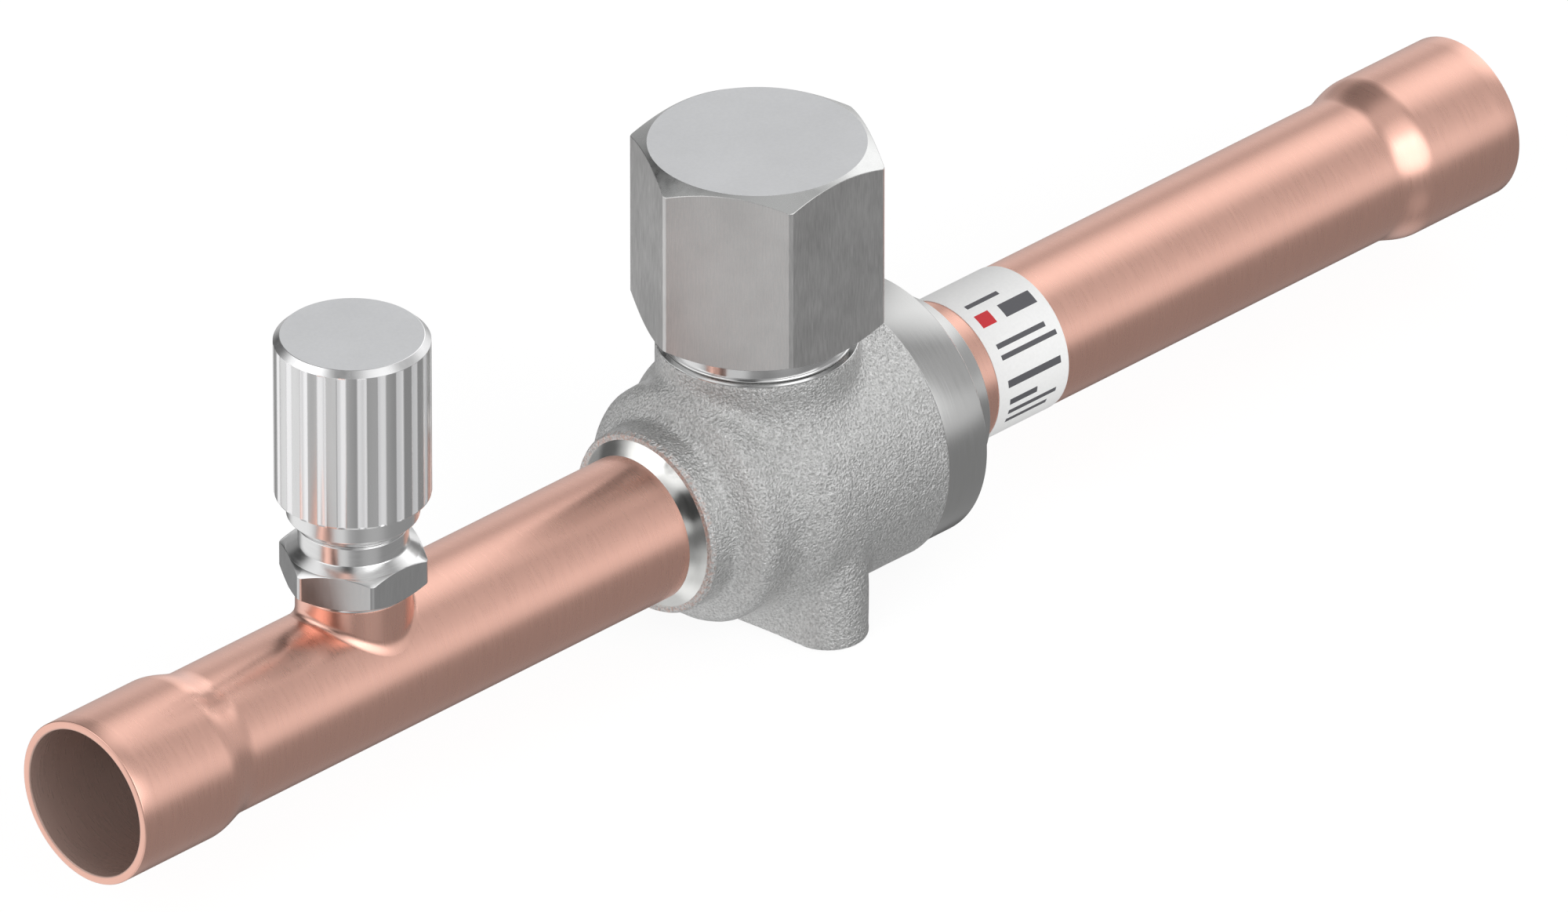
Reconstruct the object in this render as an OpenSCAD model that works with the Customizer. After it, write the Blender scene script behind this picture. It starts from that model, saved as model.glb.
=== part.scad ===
// Shut-off ball valve for refrigerant lines, with a capped stem and a capped service port.
// The origin is the centre of the foot's flat base. +X runs along the tubes, from the
// service port to the plain end, and +Z runs up the stem. All lengths are in millimetres.

/* [Tubes] */
// Outside diameter of the copper tubes
tube_od = 15.875; // [15:0.125:16.5]
// Wall of the copper tubes
tube_wall = 1.05; // [0.9:0.05:1.25]
// Wall of the widened solder sockets
socket_wall = 0.93; // [0.8:0.01:1.1]
// Radial room in a solder socket for the pipe that goes in
socket_room = 0.0625; // [0.05:0.0125:0.1]
// Depth of the straight part of each solder socket
socket_depth = 12.2; // [10:0.1:14]
// Length of the swaged step from socket to tube
swage_length = 4.9; // [4:0.1:6]
// Distance from the stem axis to the mouth of the service port's tube
port_tube_reach = 96.6; // [90:0.1:110]
// Distance from the stem axis to the mouth of the plain tube
plain_tube_reach = 103.8; // [95:0.1:115]

/* [Ball and seats] */
// Diameter of the ball
ball_d = 20; // [19.6:0.1:20.6]
// Diameter of the flow bore
bore_d = 12.7; // [11:0.1:12.9]
// Distance from the ball's centre to the front face of each seat
seat_front = 5.9; // [5.7:0.05:6.1]
// Distance from the ball's centre to the back face of each seat
seat_back = 8.9; // [8.7:0.05:9.2]
// Thickness of the rubber rings behind the seats and at the joint of the body
ring_d = 1.2; // [1.1:0.05:1.3]
// Play between the ball and its seats
seat_play = 0.08; // [0.06:0.01:0.1]

/* [Body] */
// Room around the ball in the body
chamber_room = 1.4; // [1.2:0.05:1.6]
// Wall of the barrel around the chamber
barrel_wall = 3.6; // [3.2:0.1:4]
// Wall of the shoulder around the seat
shoulder_wall = 4.2; // [3.8:0.1:4.6]
// Depth of the body's socket for the service port's tube
body_socket_depth = 5.2; // [4.6:0.1:6]
// Distance from the stem axis to the face where body and end piece meet
face_reach = 13.23; // [12.8:0.01:14]
// Radius of the stem collar
collar_r = 10.6; // [10.3:0.05:11.2]
// Height of the threaded neck above the stem collar
neck_height = 8.8; // [8:0.1:10]
// Outside diameter of the neck's thread, 3/4 inch
neck_thread_d = 19.05; // [18.6:0.05:19.4]

/* [Foot] */
// Distance between the two tapped holes in the foot
hole_spacing = 20.56; // [19:0.02:22]
// Tapping drill of the two holes
hole_d = 3.3; // [2.5:0.1:4.2]
// Depth of the two holes
hole_depth = 7.5; // [5:0.1:8]
// Radius of the foot's rounded ends
foot_end_r = 4.25; // [3.9:0.05:4.6]
// Half width of the foot at its middle
foot_half_width = 4.97; // [4.7:0.01:5.4]
// How far the foot's base lies below the barrel
foot_drop = 0.4; // [0.2:0.05:3]

/* [End piece] */
// Length of the end piece's ring
ring_length = 5.97; // [5:0.01:7]
// Length of the end piece's neck
end_neck_length = 4.75; // [4:0.05:6]
// Depth of the end piece's socket for the plain tube
end_socket_depth = 8; // [7:0.1:8.4]

/* [Stem] */
// Diameter of the stem
stem_d = 8.9; // [8.4:0.1:9.1]
// Width of the tongue that turns the ball
tongue_width = 4; // [3.4:0.1:4.6]
// Depth of the slot in the ball
slot_depth = 2.4; // [2.1:0.05:2.6]
// Width across the square for the wrench, 1/4 inch
square_af = 6.35; // [6:0.05:6.6]
// Length of the wrench square
square_length = 8.1; // [7:0.1:9]
// Diameter of the stop pin
stop_pin_d = 2.5; // [2.2:0.1:2.7]

/* [Seal cap] */
// Width across the flats of the seal cap
cap_af = 23.55; // [23:0.05:25]
// Solid crown above the stem's room in the cap
cap_crown = 4.35; // [3:0.05:6]
// Thickness of the gasket in the cap
gasket_thickness = 1.1; // [0.8:0.05:1.5]

/* [Service port] */
// Distance from the stem axis to the port's axis
port_x = 58.23; // [50:0.01:66]
// Height of the drawn collar above the tube
port_collar_height = 2.06; // [1.8:0.01:2.6]
// Outside diameter of the drawn collar
port_collar_d = 12.02; // [11.8:0.02:12.4]
// Width across the flats of the port's hexagon
port_af = 13.77; // [13.4:0.01:14.4]
// Height of the port's hexagon
port_hex_height = 3.73; // [3.2:0.01:4.5]
// Outside diameter of the port's thread, 7/16 inch
port_thread_d = 11.1125; // [10.9:0.0125:11.2]
// Length of the port's thread
port_thread_length = 10; // [9.6:0.1:11]
// Travel of the valve core's pin
core_travel = 1.2; // [0.8:0.1:1.4]

/* [Port cap] */
// Diameter of the fluted port cap
port_cap_d = 16.16; // [15.8:0.01:17]
// Number of flutes around the port cap
flutes = 24; // [16:1:26]
// Depth of each flute
flute_depth = 0.14; // [0.08:0.01:0.2]
// Solid crown above the seal in the port cap
port_cap_crown = 8; // [6:0.1:10]

/* [Label] */
// Distance from the stem axis to the label
label_start = 27.4; // [25:0.1:32]
// Width of the label's band
label_width = 10.2; // [8:0.1:14]

/* [Hidden] */
$fn = 96;

steel_cast = [0.72, 0.72, 0.72];
steel_turned = [0.62, 0.62, 0.63];
steel_bright = [0.80, 0.81, 0.82];
copper = [0.85, 0.62, 0.54];
silver_braze = [0.84, 0.84, 0.82];
white_plastic = [0.93, 0.93, 0.90];
black_rubber = [0.10, 0.10, 0.10];
brass = [0.78, 0.66, 0.38];
paper = [0.97, 0.97, 0.96];

// A cut goes this far past the face that it opens
past = 1;
// Room that lets an assembled piece go in, and the room of a sliding fit
seat_room = 0.05;
thread_room = 0.075;
braze_room = 0.06;
// Room between a rubber ring and the walls of its groove
ring_room = 0.02;

tube_r = tube_od / 2;
tube_bore_r = tube_r - tube_wall;
socket_bore_r = tube_r + socket_room;
socket_r = socket_bore_r + socket_wall;

// Distances along the tubes, from the stem axis outwards
ball_r = ball_d / 2;
bore_r = bore_d / 2;
chamber_r = ball_r + chamber_room;
// How far each seat stands out of its pocket, and its lip beyond the ball's circle there
seat_proud = 0.3;
seat_lip = 0.4;
chamber_end = seat_front - seat_proud;
pocket_r = sqrt(pow(ball_r, 2) - pow(chamber_end, 2)) + seat_lip;
seat_r = pocket_r - seat_room;
groove_end = seat_back + ring_d;
// Distance from the pocket's wall to the ring behind the seat
seat_ring_inset = 0.2;
seat_ring_r = pocket_r - seat_ring_inset - ring_d / 2;
// Wall between the ring's groove and the stop that the tube is pushed against
stop_wall = 1.17;
tube_stop = groove_end + stop_wall;
body_end = tube_stop + body_socket_depth;
tube_socket_r = tube_r + braze_room;
body_end_wall = 2.07;
body_end_r = tube_socket_r + body_end_wall;
barrel_r = chamber_r + barrel_wall;
shoulder_r = pocket_r + shoulder_wall;

spigot_r = chamber_r - seat_room;
spigot_end = chamber_end + 0.1;
// Bevel on the spigot's nose, which keeps it clear of the stem's flange
spigot_bevel = 1.6;
// Place of the rubber ring in the joint, back from the face, and its groove
joint_ring_back = 1.95;
joint_ring_at = face_reach - joint_ring_back;
joint_groove_width = 1.6;
joint_groove_r = spigot_r - ring_d - 4 * ring_room;
ring_end = face_reach + ring_length;
// How far the end piece's ring lies inside the barrel's outline
ring_step = 0.4;
ring_r = barrel_r - ring_step;
end_neck_wall = 2.27;
end_neck_r = tube_socket_r + end_neck_wall;
end_neck_end = ring_end + end_neck_length;
plain_stop = end_neck_end - end_socket_depth;
braze_leg = 1.25;
braze_chamfer = 0.6;

axis_height = barrel_r + foot_drop;

// Heights above the tubes' axis, up the stem
slot_floor = ball_r - slot_depth;
flange_bottom = ball_r + 0.35;
flange_r = 5.9;
flange_thickness = 2.25;
flange_top = flange_bottom + flange_thickness;
washer_thickness = 0.7;
washer_top = flange_top + washer_thickness;
flange_roof = washer_top + 0.1;
flange_room_r = flange_r + 0.3;
stem_r = stem_d / 2;
stem_bore_r = stem_r + seat_room;
stem_ring_r = stem_r - 0.6;
stem_ring_d = 1.24;
stem_groove_r = stem_ring_r - stem_ring_d / 2 - 0.03;
stem_groove_width = 1.6;
// Height of the lower ring over the flange's roof, and of the upper ring over the lower
lower_ring_rise = 2.4;
ring_pitch = 2.8;
lower_ring_at = flange_roof + lower_ring_rise;
upper_ring_at = lower_ring_at + ring_pitch;
// Height of the stem's collar above the barrel
collar_rise = 0.7;
collar_top = barrel_r + collar_rise;
neck_r = neck_thread_d / 2;
neck_top = collar_top + neck_height;
// Depth of the stop pin's windows, and height of the pin above their floor
stop_depth = 3.5;
stop_pin_rise = 1.7;
stop_floor = neck_top - stop_depth;
stop_pin_at = stop_floor + stop_pin_rise;
stop_reach = 5.95;
stop_room = 0.35;
square_bottom = neck_top + 0.4;
stem_top = square_bottom + square_length;

// Neck left bare below the seal cap, and room over the stem inside it
cap_lift_off = 2.2;
cap_stem_room = 1.2;
cap_bottom = collar_top + cap_lift_off;
cap_seat = neck_top + gasket_thickness;
cap_room_top = stem_top + cap_stem_room;
cap_top = cap_room_top + cap_crown;
cap_corner_r = cap_af / 2 / cos(30);
cap_bore_r = neck_r + thread_room;
cap_face_r = cap_af / 2 - 0.375;
gasket_width = 2.7;
cap_room_r = neck_r - gasket_width;
chamfer_slope = tan(30);

// Heights above the tubes' axis, up the service port
port_collar_r = port_collar_d / 2;
port_collar_wall = 0.99;
port_collar_bore_r = port_collar_r - port_collar_wall;
port_collar_top = tube_r + port_collar_height;
port_braze_chamfer = 0.4;
port_spigot_r = port_collar_bore_r - seat_room;
// Fitting's round shoulder that rests on the collar, below the hexagon
port_shoulder_height = 0.74;
port_shoulder_r = port_collar_r - 0.16;
port_hex_bottom = port_collar_top + port_shoulder_height;
port_hex_top = port_hex_bottom + port_hex_height;
port_corner_r = port_af / 2 / cos(30);
port_thread_r = port_thread_d / 2;
port_cove_r = 0.75;
port_land_height = 2.83;
port_land_r = port_thread_r + 0.15;
port_land_top = port_hex_top + port_land_height;
port_thread_top = port_land_top + port_thread_length;
port_nose_r = port_thread_r - 0.4;
port_tip_r = 3.2;
port_tip = port_thread_top + port_nose_r - port_tip_r;
port_cap_bottom = port_land_top + 0.26;
port_cap_bore_r = port_thread_r + thread_room;
port_cap_r = port_cap_d / 2;
port_skirt_step = 1.23;
port_skirt_height = 3.39;
port_skirt_bevel = 1.1;
port_skirt_r = port_cap_r - port_skirt_step;
port_skirt_top = port_cap_bottom + port_skirt_height;
port_seal_thickness = 2.1;
port_seal_top = port_tip + port_seal_thickness;
port_cap_top = port_seal_top + port_cap_crown;
port_cap_bevel = 0.58;

// The valve core, measured down from the tip of the port
core_recess = 0.6;
core_head_height = 3.4;
core_gasket_height = 1.3;
core_barrel_length = 5.4;
core_top = port_tip - core_recess;
core_head_r = 2.6;
core_head_bottom = core_top - core_head_height;
core_seat = core_head_bottom - core_gasket_height;
core_barrel_r = 1.7;
core_bore_r = 1.15;
core_bottom = core_seat - core_barrel_length;
core_spring_floor = core_bottom + 0.8;
core_pin_r = 0.5;
core_collar_r = core_bore_r - 0.2;
core_collar_bottom = core_seat + 0.2;
core_seal_bottom = core_bottom - 0.65;
core_pin_bottom = core_seal_bottom - 0.7;
core_pin_head_r = 1.5;
core_chamber_r = 2.1;
core_passage_r = 1.8;
core_passage_top = core_pin_bottom - core_travel - 0.4;

label_thickness = 0.08;

// Places a piece turned about the tubes' axis: its own Z becomes X
module along_tubes() {
    translate([0, 0, axis_height]) rotate([0, 90, 0]) children();
}

module up_stem() {
    translate([0, 0, axis_height]) children();
}

module up_port() {
    translate([-port_x, 0, axis_height]) children();
}

// A turned solid from its half outline, as [radius, place along the axis]
module turned(outline) {
    rotate_extrude() polygon(outline);
}

module tube_ring(outer, inner, from, to) {
    difference() {
        translate([0, 0, from]) cylinder(r = outer, h = to - from);
        translate([0, 0, from - past]) cylinder(r = inner, h = to - from + 2 * past);
    }
}

module drill(radius, from, to) {
    translate([0, 0, from]) cylinder(r = radius, h = to - from);
}

module o_ring(radius, section, at) {
    translate([0, 0, at]) rotate_extrude() translate([radius, 0]) circle(d = section, $fn = 32);
}

// A hexagon with its corners on X, its ends chamfered down to face_r
module hexagon(corner_r, face_r, from, to) {
    drop = (corner_r - face_r) * chamfer_slope;
    edge_r = corner_r - 0.12;
    edge_drop = (edge_r - face_r) * chamfer_slope;
    intersection() {
        translate([0, 0, from]) cylinder(r = corner_r, h = to - from, $fn = 6);
        turned([[0, from], [face_r, from], [edge_r, from + edge_drop],
                [edge_r, to - edge_drop], [face_r, to], [0, to]]);
    }
}

function unit(v) = v / norm(v);

// The corner b of a path a, b, c, rounded to the radius r
function corner(a, b, c, r, steps = 5) =
    let (u = unit(a - b), w = unit(c - b), half = acos(u * w) / 2)
    let (centre = b + unit(u + w) * r / sin(half))
    let (start = b + u * r / tan(half) - centre, stop = b + w * r / tan(half) - centre)
    let (from = atan2(start.y, start.x))
    let (turn = atan2(start.x * stop.y - start.y * stop.x, start * stop))
    [for (i = [0 : steps]) centre + r * [cos(from + turn * i / steps), sin(from + turn * i / steps)]];

// A path with its corners rounded: each point is [x, y, radius], and radius 0 stays sharp
function rounded(path) =
    [for (i = [0 : len(path) - 1])
        let (n = len(path), p = path[i], before = path[(i + n - 1) % n], after = path[(i + 1) % n])
        each p.z > 0
            ? corner([before.x, before.y], [p.x, p.y], [after.x, after.y], p.z)
            : [[p.x, p.y]]];

// Casting: barrel, shoulder over the seat and end collar, turned about the tubes' axis
module body_barrel() {
    along_tubes() turned(rounded([
        [0, -body_end, 0],
        [body_end_r - 0.3, -body_end, 0],
        [body_end_r, -body_end + 0.5, 0.3],
        [body_end_r - 0.05, 3.2 - body_end, 1.3],
        [shoulder_r, -tube_stop - 0.5, 1.6],
        [shoulder_r - 0.1, -chamber_end - 3.2, 1.2],
        [shoulder_r - 0.6, -chamber_end - 1.7, 1.2],
        [barrel_r, -chamber_end + 0.1, 2.4],
        [barrel_r, face_reach - 0.9, 0.8],
        [barrel_r - 0.4, face_reach, 0],
        [0, face_reach, 0]]));
}

// Casting: the stem's collar, which spreads where it runs into the barrel
module body_collar() {
    up_stem() turned(rounded([
        [0, 0, 0],
        [collar_r, 0, 0],
        [collar_r + 1.5, barrel_r * 0.55, 0],
        [collar_r + 0.8, barrel_r - 2.1, 1.5],
        [collar_r, barrel_r - 0.8, 1],
        [collar_r, collar_top, 0.45],
        [0, collar_top, 0]]));
}

// Machined neck for the seal cap, with a fillet onto the collar and a lead-in at its top
module body_neck() {
    fillet = 0.5;
    up_stem() turned(concat(
        [[0, collar_top - past], [neck_r + fillet, collar_top - past]],
        [for (a = [0 : 15 : 90])
            [neck_r + fillet - fillet * sin(a), collar_top + fillet - fillet * cos(a)]],
        [[neck_r, neck_top - 0.7], [neck_r - 0.7, neck_top], [0, neck_top]]));
}

// Outline of the foot: round ends over the holes, straight sides to a wider middle
module foot_outline() {
    lean = asin((foot_half_width - foot_end_r) / (hole_spacing / 2));
    side = [for (y = [1, -1]) [foot_end_r * cos(lean), y * (hole_spacing / 2 + foot_end_r * sin(lean))]];
    waist = [foot_half_width * cos(lean), foot_half_width * sin(lean)];
    polygon([side[0], waist, [waist.x, -waist.y], side[1],
             [-side[1].x, side[1].y], -waist, [-waist.x, waist.y], [-side[0].x, side[0].y]]);
    for (y = [-1, 1]) translate([0, y * hole_spacing / 2]) circle(r = foot_end_r);
}

// Two opposed quarter-turn windows that the stop pin swings in
module stop_window() {
    half = stop_pin_d / 2 + seat_room;
    reach = stop_reach + stop_room;
    intersection() {
        circle(r = reach);
        union() {
            for (turn = [0, 90]) rotate(turn) translate([-reach, -half]) square([2 * reach, 2 * half]);
            for (turn = [0, 180]) rotate(turn) square(reach);
        }
    }
}

// Cuts the groove for the rubber ring behind a seat
module seat_groove(from, to) {
    half = ring_d / 2 + ring_room;
    tube_ring(seat_ring_r + half, seat_ring_r - half, from, to);
}

module body() {
    color(steel_cast) difference() {
        union() {
            body_barrel();
            body_collar();
            body_neck();
            linear_extrude(height = axis_height - ball_r) foot_outline();
        }
        along_tubes() {
            drill(chamber_r, -chamber_end, face_reach + past);
            drill(pocket_r, -seat_back, 0);
            seat_groove(-groove_end, 0);
            drill(bore_r, -body_end, 0);
            drill(tube_socket_r, -body_end - past, -tube_stop);
        }
        up_stem() {
            drill(flange_room_r, 0, flange_roof);
            drill(stem_bore_r, 0, neck_top);
            translate([0, 0, stop_floor]) linear_extrude(height = neck_top - stop_floor + past) stop_window();
        }
        for (y = [-1, 1])
            translate([0, y * hole_spacing / 2, -past]) cylinder(d = hole_d, h = hole_depth + past);
    }
}

module end_piece() {
    half_groove = joint_groove_width / 2;
    color(steel_turned) along_tubes() difference() {
        turned([[0, spigot_end], [spigot_r - spigot_bevel, spigot_end],
                [spigot_r, spigot_end + spigot_bevel],
                [spigot_r, joint_ring_at - half_groove], [joint_groove_r, joint_ring_at - half_groove],
                [joint_groove_r, joint_ring_at + half_groove], [spigot_r, joint_ring_at + half_groove],
                [spigot_r, face_reach], [ring_r - 0.15, face_reach], [ring_r, face_reach + 0.15],
                [ring_r, ring_end - 0.3], [ring_r - 0.3, ring_end], [end_neck_r, ring_end],
                [end_neck_r, end_neck_end - 0.2], [end_neck_r - 0.2, end_neck_end], [0, end_neck_end]]);
        drill(pocket_r, 0, seat_back);
        seat_groove(0, groove_end);
        drill(bore_r, 0, end_neck_end);
        drill(tube_socket_r, plain_stop, end_neck_end + past);
        translate([0, 0, end_neck_end - braze_chamfer])
            cylinder(r1 = tube_socket_r, r2 = tube_socket_r + braze_chamfer, h = braze_chamfer);
        translate([0, 0, end_neck_end - 0.001])
            cylinder(r = tube_socket_r + braze_chamfer, h = past);
    }
}

module body_o_ring() {
    color(black_rubber) along_tubes() o_ring(joint_groove_r + ring_d / 2 + ring_room, ring_d, joint_ring_at);
}

// Half outline of a tube from its inner end to its mouth: both walls of the swaged step
// follow half a cosine wave, and the mouth's edges are broken
function swage(from, to, start, steps = 10) =
    [for (i = [0 : steps]) [from + (to - from) * (1 - cos(180 * i / steps)) / 2,
                            start + swage_length * i / steps]];

module tube(inner_end, mouth) {
    step_start = mouth - socket_depth - swage_length;
    edge = 0.15;
    turned(concat(
        [[tube_bore_r, inner_end], [tube_r - edge, inner_end], [tube_r, inner_end + edge]],
        swage(tube_r, socket_r, step_start),
        [[socket_r, mouth - edge], [socket_r - edge, mouth], [socket_bore_r + edge, mouth],
         [socket_bore_r, mouth - edge]],
        [for (p = swage(socket_bore_r, tube_bore_r, 0)) [p.x, step_start + swage_length - p.y]]));
}

module port_tube() {
    color(copper) difference() {
        union() {
            along_tubes() mirror([0, 0, 1]) tube(tube_stop + 0.1, port_tube_reach);
            up_port() difference() {
                drill(port_collar_r, tube_r / 2, port_collar_top);
                along_port_tube() drill(tube_bore_r, -2 * port_collar_r, 2 * port_collar_r);
            }
        }
        up_port() {
            drill(port_collar_bore_r, 0, port_collar_top + past);
            translate([0, 0, port_collar_top - port_braze_chamfer])
                cylinder(r1 = port_collar_bore_r, r2 = port_collar_bore_r + 2 * port_braze_chamfer,
                         h = 2 * port_braze_chamfer);
        }
    }
}

// Within the port's place, turns a shape onto the tube's own line
module along_port_tube() {
    rotate([0, 90, 0]) children();
}

module plain_tube() {
    color(copper) along_tubes() tube(plain_stop + 0.1, plain_tube_reach);
}

module port_tube_braze() {
    color(silver_braze) along_tubes()
        turned([[tube_r, -body_end], [tube_r + braze_leg, -body_end],
                [tube_r + 0.75 * braze_leg, -body_end - 0.35 * braze_leg],
                [tube_r + 0.35 * braze_leg, -body_end - 0.75 * braze_leg],
                [tube_r, -body_end - braze_leg]]);
}

module plain_tube_braze() {
    color(silver_braze) along_tubes()
        turned([[tube_r, end_neck_end - braze_chamfer],
                [tube_socket_r, end_neck_end - braze_chamfer],
                [tube_socket_r + braze_chamfer, end_neck_end],
                [tube_r, end_neck_end + 0.2]]);
}

module ball() {
    color(steel_bright) up_stem() difference() {
        sphere(r = ball_r);
        rotate([0, 90, 0]) drill(bore_r, -ball_r, ball_r);
        translate([-tongue_width / 2 - 0.1, -ball_r, slot_floor])
            cube([tongue_width + 0.2, 2 * ball_r, ball_r]);
    }
}

// A seat ring whose front is hollowed to the ball
module seat() {
    difference() {
        tube_ring(seat_r, bore_r, seat_front, seat_back);
        sphere(r = ball_r + seat_play);
    }
}

module port_side_seat() {
    color(white_plastic) along_tubes() mirror([0, 0, 1]) seat();
}

module plain_side_seat() {
    color(white_plastic) along_tubes() seat();
}

module port_side_o_ring() {
    color(black_rubber) along_tubes() o_ring(seat_ring_r, ring_d, -(seat_back + ring_d / 2));
}

module plain_side_o_ring() {
    color(black_rubber) along_tubes() o_ring(seat_ring_r, ring_d, seat_back + ring_d / 2);
}

module stem() {
    half_groove = stem_groove_width / 2;
    color(steel_bright) up_stem() difference() {
        union() {
            turned([[0, flange_bottom], [flange_r - 0.3, flange_bottom], [flange_r, flange_bottom + 0.3],
                    [flange_r, flange_top], [stem_r, flange_top],
                    [stem_r, lower_ring_at - half_groove], [stem_groove_r, lower_ring_at - half_groove],
                    [stem_groove_r, lower_ring_at + half_groove], [stem_r, lower_ring_at + half_groove],
                    [stem_r, upper_ring_at - half_groove], [stem_groove_r, upper_ring_at - half_groove],
                    [stem_groove_r, upper_ring_at + half_groove], [stem_r, upper_ring_at + half_groove],
                    [stem_r, square_bottom], [0, square_bottom]]);
            // Tongue in the ball's slot
            intersection() {
                translate([-tongue_width / 2, -flange_r, slot_floor + 0.2])
                    cube([tongue_width, 2 * flange_r, flange_bottom - slot_floor]);
                drill(flange_r - 1, slot_floor, flange_top);
            }
            // Wrench square, its corners turned off
            intersection() {
                translate([-square_af / 2, -square_af / 2, square_bottom - past])
                    cube([square_af, square_af, square_length + past]);
                turned([[0, square_bottom - past], [stem_r, square_bottom - past],
                        [stem_r, stem_top - 0.7], [stem_r - 1, stem_top], [0, stem_top]]);
            }
        }
        // Cross hole for the stop pin
        translate([0, 0, stop_pin_at]) rotate([90, 0, 0])
            cylinder(d = stop_pin_d, h = 3 * stem_r, center = true);
        // Mark across the square that shows how the ball's bore lies
        translate([-stem_r, -0.6, stem_top - 1.2]) cube([2 * stem_r, 1.2, 1.2 + past]);
    }
}

module stop_pin() {
    color(steel_turned) up_stem() translate([0, stop_reach, stop_pin_at]) rotate([90, 0, 0])
        turned([[0, 0], [stop_pin_d / 2 - 0.3, 0], [stop_pin_d / 2, 0.3],
                [stop_pin_d / 2, 2 * stop_reach - 0.3], [stop_pin_d / 2 - 0.3, 2 * stop_reach],
                [0, 2 * stop_reach]]);
}

module thrust_washer() {
    color(white_plastic) up_stem() tube_ring(flange_r, stem_r + 0.1, flange_top, washer_top);
}

module lower_stem_o_ring() {
    color(black_rubber) up_stem() o_ring(stem_ring_r, stem_ring_d, lower_ring_at);
}

module upper_stem_o_ring() {
    color(black_rubber) up_stem() o_ring(stem_ring_r, stem_ring_d, upper_ring_at);
}

module seal_cap() {
    color(steel_turned) up_stem() difference() {
        hexagon(cap_corner_r, cap_face_r, cap_bottom, cap_top);
        drill(cap_bore_r, cap_bottom - past, cap_seat);
        translate([0, 0, cap_bottom - 0.001])
            cylinder(r1 = cap_bore_r + 0.7, r2 = cap_bore_r, h = 0.7);
        drill(cap_room_r, cap_bottom, cap_room_top - 1);
        translate([0, 0, cap_room_top - 1])
            cylinder(r1 = cap_room_r, r2 = cap_room_r - 1, h = 1);
    }
}

module seal_cap_gasket() {
    color(white_plastic) up_stem() tube_ring(cap_bore_r - 0.2, cap_room_r + 0.1, neck_top, cap_seat);
}

module port_fitting() {
    color(steel_bright) up_port() difference() {
        union() {
            hexagon(port_corner_r, port_af / 2, port_hex_bottom, port_hex_top);
            turned(concat(
                [[0, tube_r - 0.5], [port_spigot_r, tube_r - 0.5], [port_spigot_r, port_collar_top],
                 [port_shoulder_r, port_collar_top], [port_shoulder_r, port_hex_bottom + 0.5],
                 [port_af / 2 - 0.5, port_hex_bottom + 0.5]],
                [for (a = [0 : 15 : 90])
                    [port_land_r + port_cove_r * (1 - sin(a)), port_hex_top + port_cove_r * (1 - cos(a))]],
                [[port_land_r, port_land_top], [port_thread_r, port_land_top + 0.15],
                 [port_thread_r, port_thread_top - 0.4], [port_nose_r, port_thread_top],
                 [port_tip_r, port_tip], [0, port_tip]]));
        }
        drill(core_passage_r, 0, port_tip);
        drill(core_chamber_r, core_passage_top, port_tip);
        drill(core_head_r + seat_room, core_seat, port_tip + past);
    }
}

module port_fitting_braze() {
    color(silver_braze) up_port()
        turned([[port_spigot_r, port_collar_top - port_braze_chamfer],
                [port_collar_bore_r, port_collar_top - port_braze_chamfer],
                [port_collar_bore_r + port_braze_chamfer, port_collar_top],
                [port_spigot_r, port_collar_top]]);
}

// Outline of the fluted grip: a round with shallow hollows all round
module flute_outline() {
    width = 2 * PI * port_cap_r / flutes * 0.58;
    hollow_r = (pow(width / 2, 2) + pow(flute_depth, 2)) / (2 * flute_depth);
    difference() {
        circle(r = port_cap_r);
        for (i = [0 : flutes - 1]) rotate((i + 0.5) * 360 / flutes)
            translate([port_cap_r - flute_depth + hollow_r, 0]) circle(r = hollow_r);
    }
}

module port_cap() {
    color(steel_bright) up_port() difference() {
        intersection() {
            union() {
                translate([0, 0, port_skirt_top])
                    linear_extrude(height = port_cap_top - port_skirt_top) flute_outline();
                drill(port_skirt_r, port_cap_bottom, port_skirt_top + past);
            }
            turned([[0, port_cap_bottom], [port_skirt_r - port_skirt_bevel, port_cap_bottom],
                    [port_skirt_r, port_cap_bottom + port_skirt_bevel], [port_skirt_r, port_skirt_top],
                    [port_cap_r + past, port_skirt_top], [port_cap_r + past, port_cap_top - port_cap_bevel - past],
                    [port_cap_r - port_cap_bevel, port_cap_top], [0, port_cap_top]]);
        }
        drill(port_cap_bore_r, port_cap_bottom - past, port_seal_top);
    }
}

module port_cap_seal() {
    color(black_rubber) up_port() drill(port_cap_bore_r - 0.15, port_tip, port_seal_top);
}

module core_body() {
    color(brass) up_port() difference() {
        union() {
            drill(core_head_r, core_head_bottom, core_top);
            drill(core_barrel_r, core_bottom, core_top - past);
        }
        drill(core_bore_r, core_spring_floor, core_top + past);
        drill(core_pin_r + 0.12, core_bottom - past, core_top);
        // Two flats on the head for the core tool
        for (side = [0, 180]) rotate(side)
            translate([core_head_r - 0.8, -core_head_r, core_top - 1.6])
                cube([past, 2 * core_head_r, 1.6 + past]);
    }
}

module core_gasket() {
    color(white_plastic) up_port()
        turned([[core_barrel_r + 0.02, core_seat], [core_head_r - 0.4, core_seat],
                [core_head_r, core_seat + 0.4], [core_head_r, core_head_bottom],
                [core_barrel_r + 0.02, core_head_bottom]]);
}

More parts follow.
